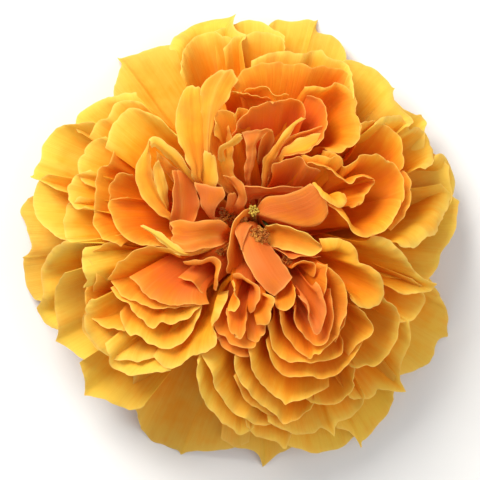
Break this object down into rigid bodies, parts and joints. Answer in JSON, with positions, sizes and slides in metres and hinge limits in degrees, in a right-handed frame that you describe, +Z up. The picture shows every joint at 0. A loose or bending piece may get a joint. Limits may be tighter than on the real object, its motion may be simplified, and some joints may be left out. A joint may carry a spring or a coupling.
{
  "type": "rose flower head",
  "caption": "Full-blown, very double garden rose with golden-orange petals in quartered nests round a small eye, on a hip with sepals and a short cut stem, lying face up.",
  "frame": {"origin": "middle of the footprint, on the surface that the bloom lies on", "axes": "+Z up, the way the bloom faces; +Y towards the edge of the bloom that is uppermost when it is looked at face on"},
  "size_m": [0.1112, 0.1136, 0.045],
  "materials": {
    "outer_petals": "matt, soft golden yellow",
    "middle_petals": "matt, golden orange",
    "inner_petals": "matt, apricot orange",
    "heart_petals": "matt, salmon orange",
    "sepals": "matt, leaf green",
    "hip": "satin, green",
    "stem": "satin, green, pale at the cut",
    "stamens": "matt, brown and amber",
    "styles": "matt, amber"
  },
  "bodies": {
    "root": {"guard_01": "outer_petals", "guard_02": "outer_petals", "guard_04": "outer_petals", "guard_05": "outer_petals", "guard_06": "outer_petals", "guard_07": "outer_petals", "guard_08": "outer_petals", "guard_09": "outer_petals", "guard_10": "outer_petals", "guard_11": "outer_petals", "guard_12": "outer_petals", "guard_13": "outer_petals", "guard_14": "outer_petals", "guard_15": "outer_petals", "guard_16": "outer_petals", "guard_17": "outer_petals", "guard_18": "outer_petals", "guard_19": "outer_petals", "guard_20": "outer_petals", "heart_01": "heart_petals", "heart_03": "heart_petals", "heart_04": "heart_petals", "hip": "hip", "left_01": "inner_petals", "left_02": "inner_petals", "left_05": "inner_petals", "left_08": "inner_petals", "low_01": "inner_petals", "low_04": "inner_petals", "low_06": "inner_petals", "low_08": "inner_petals", "low_10": "inner_petals", "mid_01": "inner_petals", "outer_01": "middle_petals", "outer_03": "middle_petals", "outer_05": "middle_petals", "outer_06": "middle_petals", "outer_08": "middle_petals", "outer_09": "middle_petals", "outer_11": "middle_petals", "outer_12": "middle_petals", "outer_13": "middle_petals", "outer_19": "middle_petals", "right_01": "inner_petals", "right_02": "inner_petals", "right_03": "inner_petals", "ring_01": "inner_petals", "ring_02": "inner_petals", "sepal_1": "sepals", "sepal_2": "sepals", "sepal_3": "sepals", "sepal_4": "sepals", "sepal_5": "sepals", "stamens": "stamens", "stem": "stem", "styles": "styles", "top_02": "inner_petals", "top_04": "inner_petals", "top_05": "inner_petals", "top_12": "inner_petals"}
  },
  "joints": []
}
